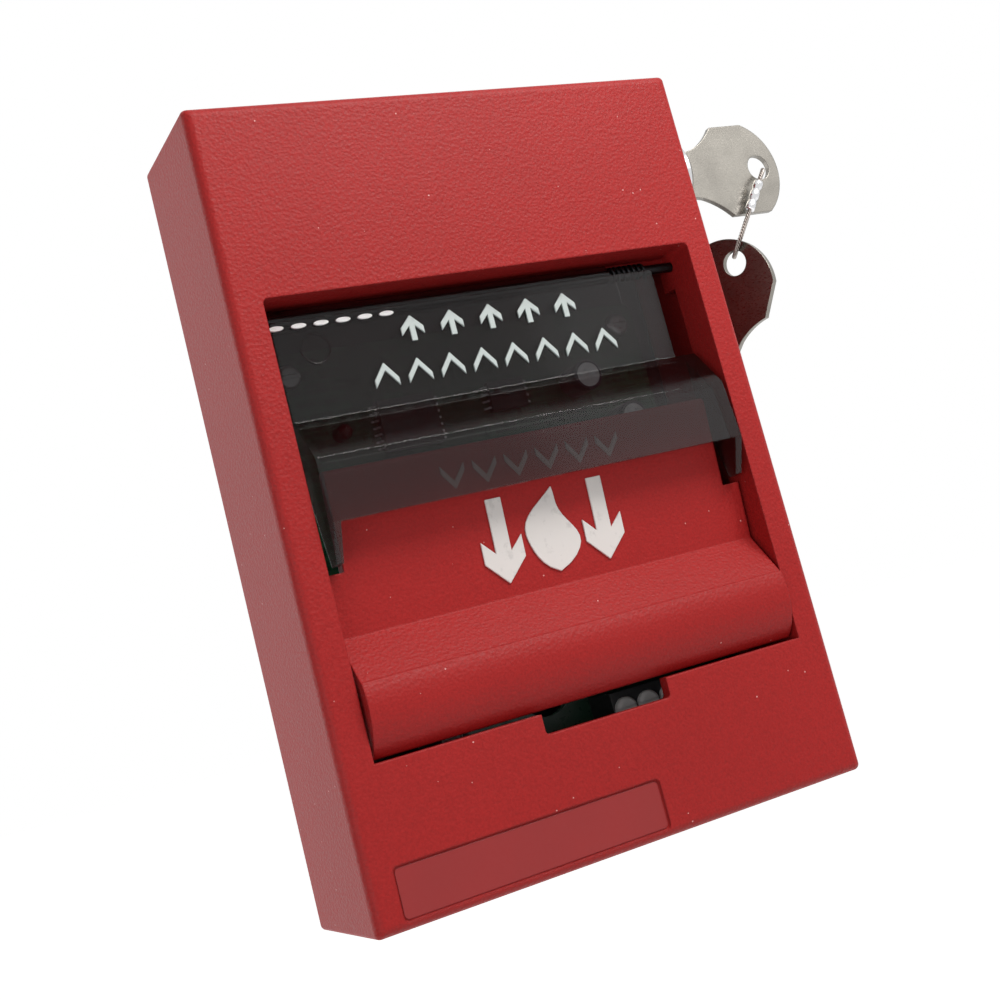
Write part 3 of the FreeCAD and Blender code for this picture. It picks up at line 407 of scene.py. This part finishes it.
def circle(count):
    """Angles spaced evenly round a circle."""
    return [2 * math.pi * k / count for k in range(count)]


def lens(x, z, length, height):
    """A pointed oval."""
    turns = [math.pi * k / 8 for k in range(9)]
    top = [(x - length / 2 * math.cos(turn), z + height / 2 * math.sin(turn)) for turn in turns]
    low = [(a, 2 * z - b) for a, b in reversed(top[1:-1])]
    return top + low


def make_marks():
    """Arrows, chevrons, a flame, a row of near-white pads that are painted highlights, and a moulding mark.
    """
    pale = mark_paint("mark_pale", (0.50, 0.56, 0.55))
    white = mark_paint("mark_white", (0.74, 0.71, 0.69))
    faint = mark_paint("mark_faint", (0.46, 0.34, 0.33))
    # Near-white paint for the pads that are painted highlights on the flap's top edge.
    glint_white = mark_paint("mark_glint_white", (0.92, 0.92, 0.92))
    raised("lift_arrows", [arrow(x, 100.5, 4.6, 4.9, 1.15) for x in spread(34.5, 67.0, 5)],
           flap_depth, 0.45, "flap", pale)
    raised("lift_chevrons", [chevron(x, 92.6, 4.8, 4.6, 1.5) for x in spread(27.2, 73.8, 8)],
           flap_depth, 0.45, "flap", pale)
    raised("pull_chevrons", [chevron(x, 71.8, 4.8, -4.6, 1.5) for x in spread(34.5, 67.2, 6)],
           handle_depth, 0.35, "handle", faint)
    raised("pull_symbols", [arrow(41.0, 58.65, 8.4, -15.7, 3.2), arrow(62.4, 58.65, 8.4, -15.7, 3.2),
                            flame(51.7, 58.65, 15.7)], handle_depth, 0.4, "handle", white)
    ring = []
    for radius, way in ((2.9, 1), (2.55, -1)):
        for turn in (math.radians(165 + way * 12 * k) for k in range(28)):
            ring.append((15.4 + radius * math.cos(turn), 99.4 + radius * math.sin(turn)))
    raised("ejector_mark", [ring], flap_depth, 0.08, "flap", LOOKS["smoked_clear"], 0.03)
    # Painted highlights: a row of near-white pads along the flap's top edge, standing in for glints on that
    # edge.
    raised("glint_pads", [lens(x, 103.9, 2.9, 0.95) for x in spread(9.0, 30.2, 6)],
           flap_depth, 0.5, "flap", glint_white)


# ---------------------------------------------------------------------------
# Wire link: a twisted strand and a crimped ferrule
# ---------------------------------------------------------------------------
JOINTS = {joint["name"]: joint for joint in frame["record"]["behaviour"]["joints"]}
LINK_TOP = Vector((1.2, 0.0, -0.9)) * MM      # wire in the key's hole, from its centre
LINK_LOW = Vector((0.2, 0.0, 1.8)) * MM       # wire in the spare key's hole, from its centre
LOOP_SIDE = Vector((0.58, 0.80, 0.17))
LOOP_HALF_W = 4.5 * MM


class Loop:
    """The link's centre line: two straight strands joined by half circles."""

    def __init__(self):
        self.top = Vector(JOINTS["link_swing"]["pos_m"]) + LINK_TOP
        self.low = Vector(JOINTS["spare_swing"]["pos_m"]) + LINK_LOW
        self.along = (self.low - self.top).normalized()
        self.normal = self.along.cross(LOOP_SIDE).normalized()
        self.side = self.normal.cross(self.along).normalized()
        self.centre = (self.top + self.low) / 2
        self.straight = (self.low - self.top).length / 2 - LOOP_HALF_W

    def point(self, u, v):
        return self.centre + self.along * u + self.side * v

    def at(self, share):
        """Point and direction at a share of the way round, from the back strand's top."""
        run, bend = 2 * self.straight, math.pi * LOOP_HALF_W
        way = (share % 1.0) * 2 * (run + bend)
        w = LOOP_HALF_W
        if way < run:
            return self.point(way - self.straight, w), self.along
        way -= run
        if way < bend:
            turn = way / w
            out = self.point(self.straight + w * math.sin(turn), w * math.cos(turn))
            return out, self.along * math.cos(turn) - self.side * math.sin(turn)
        way -= bend
        if way < run:
            return self.point(self.straight - way, -w), -self.along
        turn = (way - run) / w
        out = self.point(-self.straight - w * math.sin(turn), -w * math.cos(turn))
        return out, -self.along * math.cos(turn) + self.side * math.sin(turn)


def swept(name, rings, look, body, closed=True):
    """A tube skin over rings of points, one after the other."""
    bm = bmesh.new()
    rows = [[bm.verts.new(point) for point in ring] for ring in rings]
    count = len(rows[0])
    last = len(rows) if closed else len(rows) - 1
    for k in range(last):
        row, after = rows[k], rows[(k + 1) % len(rows)]
        for j in range(count):
            i = (j + 1) % count
            bm.faces.new([row[j], row[i], after[i], after[j]])
    if not closed:
        bm.faces.new(list(reversed(rows[0])))
        bm.faces.new(rows[-1])
    for face in bm.faces:
        face.smooth = True
    return new_piece(name, bm, look, body)


def make_link():
    """Three strands twisted round the loop, and the ferrule crimped on its front strand."""
    loop = Loop()
    strands, turns, steps, sides = 3, 26, 520, 8
    lay_r, strand_r = 0.26 * MM, 0.245 * MM
    for strand in range(strands):
        rings = []
        for k in range(steps):
            share = k / steps
            middle, way = loop.at(share)
            across = loop.normal.cross(way)
            twist = 2 * math.pi * (turns * share + strand / strands)
            centre = middle + (loop.normal * math.cos(twist) + across * math.sin(twist)) * lay_r
            rings.append([centre + (loop.normal * math.cos(a) + across * math.sin(a)) * strand_r
                          for a in circle(sides)])
        piece = swept("link_strand_%d" % (strand + 1), rings, LOOKS["wire"], "link")
        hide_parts("key_link_wire")

    # Ferrule: a drawn tube with two crimps and rolled ends
    outline = [(0.0, 0.62), (0.0, 0.95), (0.4, 1.05), (1.5, 1.05), (1.9, 0.86), (2.3, 0.86), (2.7, 1.06),
               (4.1, 1.08), (4.5, 0.86), (4.9, 0.86), (5.3, 1.05), (6.6, 1.05), (7.0, 0.95), (7.0, 0.62)]
    rings = []
    for way, radius in outline:
        middle = loop.point(-loop.straight + way * MM, -LOOP_HALF_W)
        rings.append([middle + (loop.normal * math.cos(a) + loop.side * math.sin(a)) * radius * MM
                      for a in circle(24)])
    ferrule = swept("link_crimp", rings, LOOKS["chrome"], "link", closed=False)
    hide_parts("link_ferrule")


def make_gap_shade_strip():
    """Dark foam strip inside the cover's free edge, which closes the gap beside the mounting plate: painted
    shade, so the gap reads dark.
    """
    # Near-black strip that stands in for the shade in the gap beside the mounting plate.
    gap_shade_foam = plastic("gap_shade_foam", (0.012, 0.011, 0.011), 0.9)
    section = [(98.9, 27.8), (98.9, 31.2), (97.5, 31.2), (97.3, 30.9), (97.25, 29.3), (95.2, 29.15),
               (94.9, 28.7), (95.3, 28.3), (97.2, 28.1)]
    rings = [[spot(x, depth, z) for x, depth in section] for z in spread(4.0, 139.0, 12)]
    swept("gap_shade_strip", rings, gap_shade_foam, "cover", closed=False)


def make_label():
    """Bare film in the recess under the window, smoother and deeper red than the box."""
    film = plastic("label_film", (0.265, 0.0105, 0.0105), 0.42, 0.05)
    left, right, low, high, r = 5.35, 57.05, 1.75, 10.15, 0.8
    outline = []
    for x, z, start in ((right - r, high - r, 0), (left + r, high - r, 90), (left + r, low + r, 180),
                        (right - r, low + r, 270)):
        outline += [(x + r * math.cos(math.radians(start + a)), z + r * math.sin(math.radians(start + a)))
                    for a in range(0, 91, 15)]
    raised("bare_label", [outline], lambda z: 0.5, 0.15, "cover", film, 0.05)


# ---------------------------------------------------------------------------
# Board details: chip leads, capacitor sleeves and the address switch's rockers
# ---------------------------------------------------------------------------
CHIPS = ((-14, 14, 12, 10, 7), (8, 16, 8, 6, 4), (-16, -8, 7, 5, 3))     # x, z, width, height, leads a side
CAPACITORS = ((24, 16), (32, 6))
CAPACITOR_R = 3.0
# Millimetres out from the chip's edge or the capacitor's side, and up from the board's face (up is negative)
LEAD_SHAPE = ((0, -0.95), (0.55, -0.95), (0.75, -0.25), (1.3, -0.2), (1.3, 0), (0.6, 0), (0.4, -0.75),
              (0, -0.75))
SLEEVE_SHAPE = ((0.01, -0.1), (0.14, -0.1), (0.14, -6.8), (0.0, -7.08), (-0.45, -7.10), (-0.5, -7.02),
                (0.01, -6.95))


def bars(name, sections, body, look, bevel=0.05):
    """Short bars along Z: each an outline of (x, y) millimetres and its two heights."""
    bm = bmesh.new()
    for outline, low, high in sections:
        rows = [[bm.verts.new(Vector((x, y, z)) * MM) for x, y in outline] for z in (low, high)]
        bm.faces.new(rows[0])
        bm.faces.new(list(reversed(rows[1])))
        for k in range(len(outline)):
            n = (k + 1) % len(outline)
            bm.faces.new([rows[0][n], rows[0][k], rows[1][k], rows[1][n]])
    return new_piece(name, bm, look, body, bevel)


def make_board_details():
    """Leads beside each chip, a sleeve round each capacitor and eight rockers in the address switch."""
    face = BOARD_LO.y / MM
    leads = []
    for x, z, width, height, count in CHIPS:
        for side in (-1, 1):
            edge = x + side * (width / 2 - 0.05)
            outline = [(edge + side * out, face + up) for out, up in LEAD_SHAPE]
            leads += [(outline, middle - 0.22, middle + 0.22)
                      for middle in spread(z - height / 2 + 0.9, z + height / 2 - 0.9, count)]
    bars("chip_leads", leads, "base", LOOKS["steel"], 0.03)

    sleeve = plastic("sleeve", (0.010, 0.012, 0.035), 0.35)
    for number, (x, z) in enumerate(CAPACITORS, 1):
        rings = []
        for out, up in SLEEVE_SHAPE:
            r = CAPACITOR_R + out
            rings.append([Vector((x + r * math.cos(a), face + up, z + r * math.sin(a))) * MM
                          for a in circle(32)])
        swept("capacitor_sleeve_%d" % number, rings, sleeve, "base")

    lo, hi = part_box("address_switch")
    front, middle = lo.y / MM, (lo.z + hi.z) / 2 / MM
    rockers = []
    for number, x in enumerate(spread(lo.x / MM + 1.9, hi.x / MM - 1.9, 8)):
        tilt = 0.25 if number % 3 else -0.25
        outline = [(x - 0.6, front + 0.05), (x - 0.6, front - 0.35 - tilt), (x - 0.4, front - 0.5),
                   (x + 0.4, front - 0.5), (x + 0.6, front - 0.35 - tilt), (x + 0.6, front + 0.05)]
        rockers.append((outline, middle - 1.6 + tilt, middle + 1.6 + tilt))
    bars("switch_rockers", rockers, "base", LOOKS["nylon"], 0.08)


make_board_details()
make_marks()
make_link()
make_gap_shade_strip()
make_label()


# ---------------------------------------------------------------------------
# Camera, light and surroundings
# ---------------------------------------------------------------------------
def make_camera():
    """Low and to the left, looking up, with the frame rolled."""
    data = bpy.data.cameras.new("camera")
    data.sensor_width = 36.0
    data.lens = 54.2
    data.shift_x = -0.054
    data.shift_y = -0.10
    camera = bpy.data.objects.new("camera", data)
    camera.location = Vector((-127.93, -276.90, -30.71)) * MM
    azimuth, elevation, roll = 28.825, 8.228, 14.974
    look = Euler((math.radians(90 + elevation), 0, math.radians(-azimuth)), "XYZ").to_matrix()
    camera.rotation_euler = (look @ Matrix.Rotation(math.radians(-roll), 3, "Z")).to_euler()
    data.clip_start, data.clip_end = 0.01, 20
    bpy.context.scene.collection.objects.link(camera)
    bpy.context.scene.camera = camera


FLOOR_DROP, FLOOR_REACH = 0.12, 4.0             # metres under the object, and out to each side
FLOOR_LIFT = 0.90                               # glow that turns the pale floor white
WORLD_FILL = 0.14                               # the world's strength where its white isn't shown


def seen_white(tree):
    """1 for the rays that show the white background: straight ones, reflections and those through glass."""
    path = tree.nodes.new("ShaderNodeLightPath")
    total = path.outputs["Is Camera Ray"]
    for ray in ("Is Glossy Ray", "Is Transmission Ray"):
        joined = tree.nodes.new("ShaderNodeMath")
        joined.operation = "MAXIMUM"
        tree.links.new(total, joined.inputs[0])
        tree.links.new(path.outputs[ray], joined.inputs[1])
        total = joined.outputs[0]
    return total


def area_light(name, place, target, size, watts, colour=(1, 1, 1)):
    """A soft panel, its size in metres, turned towards a target."""
    data = bpy.data.lights.new(name, "AREA")
    data.shape = "RECTANGLE"
    data.size, data.size_y = size
    data.energy = watts
    data.color = colour
    lamp = bpy.data.objects.new(name, data)
    lamp.location = place
    lamp.rotation_euler = (Vector(target) - Vector(place)).to_track_quat("-Z", "Y").to_euler()
    bpy.context.scene.collection.objects.link(lamp)


def stage_material():
    """Pale floor that reads as white, also in reflections, with the object's soft shadow left in."""
    material = bpy.data.materials.new("stage_white")
    material.use_nodes = True
    tree = material.node_tree
    tree.nodes.clear()
    out = tree.nodes.new("ShaderNodeOutputMaterial")
    diffuse = tree.nodes.new("ShaderNodeBsdfDiffuse")
    diffuse.inputs["Color"].default_value = (0.80, 0.80, 0.80, 1)
    lift = tree.nodes.new("ShaderNodeEmission")
    gain = tree.nodes.new("ShaderNodeMath")
    gain.operation = "MULTIPLY"
    gain.inputs[1].default_value = FLOOR_LIFT
    both = tree.nodes.new("ShaderNodeAddShader")
    tree.links.new(seen_white(tree), gain.inputs[0])
    tree.links.new(gain.outputs[0], lift.inputs["Strength"])
    tree.links.new(diffuse.outputs[0], both.inputs[0])
    tree.links.new(lift.outputs[0], both.inputs[1])
    tree.links.new(both.outputs[0], out.inputs["Surface"])
    return material


def make_stage():
    """A pale floor under the object, as it hangs in front of a white world."""
    mesh = bpy.data.meshes.new("floor")
    z = CAD_BOUNDS[0].z - FLOOR_DROP
    corners = [(x * FLOOR_REACH, y * FLOOR_REACH, z) for x, y in ((-1, -1), (1, -1), (1, 1), (-1, 1))]
    mesh.from_pydata(corners, [], [(0, 1, 2, 3)])
    floor = bpy.data.objects.new("floor", mesh)
    floor.data.materials.append(stage_material())
    bpy.context.scene.collection.objects.link(floor)


def make_world():
    """White where it is seen, and a weak even fill otherwise."""
    world = bpy.data.worlds.new("studio")
    bpy.context.scene.world = world
    world.use_nodes = True
    tree = world.node_tree
    light = tree.nodes["Background"]
    light.inputs["Color"].default_value = (1, 1, 1, 1)
    strength = tree.nodes.new("ShaderNodeMapRange")
    strength.inputs["To Min"].default_value = WORLD_FILL
    strength.inputs["To Max"].default_value = 1.0
    tree.links.new(seen_white(tree), strength.inputs["Value"])
    tree.links.new(strength.outputs[0], light.inputs["Strength"])


make_camera()
make_world()
make_stage()
area_light("key_panel", (0.14, -0.34, 0.34), (0, 0, 0.06), (0.30, 0.24), 2.45, (1.0, 0.97, 0.94))
area_light("right_panel", (0.378, -0.391, 0.254), (0, 0, 0.03), (0.33, 0.33), 0.27)
area_light("back_left_panel", (-0.45, 0.35, 0.05), (0, 0, 0), (0.5, 0.5), 0.95)
area_light("low_fill", (-0.60, -0.58, -0.10), (0, 0, 0), (0.45, 0.4), 1.7)
bpy.context.scene.view_settings.view_transform = "Standard"
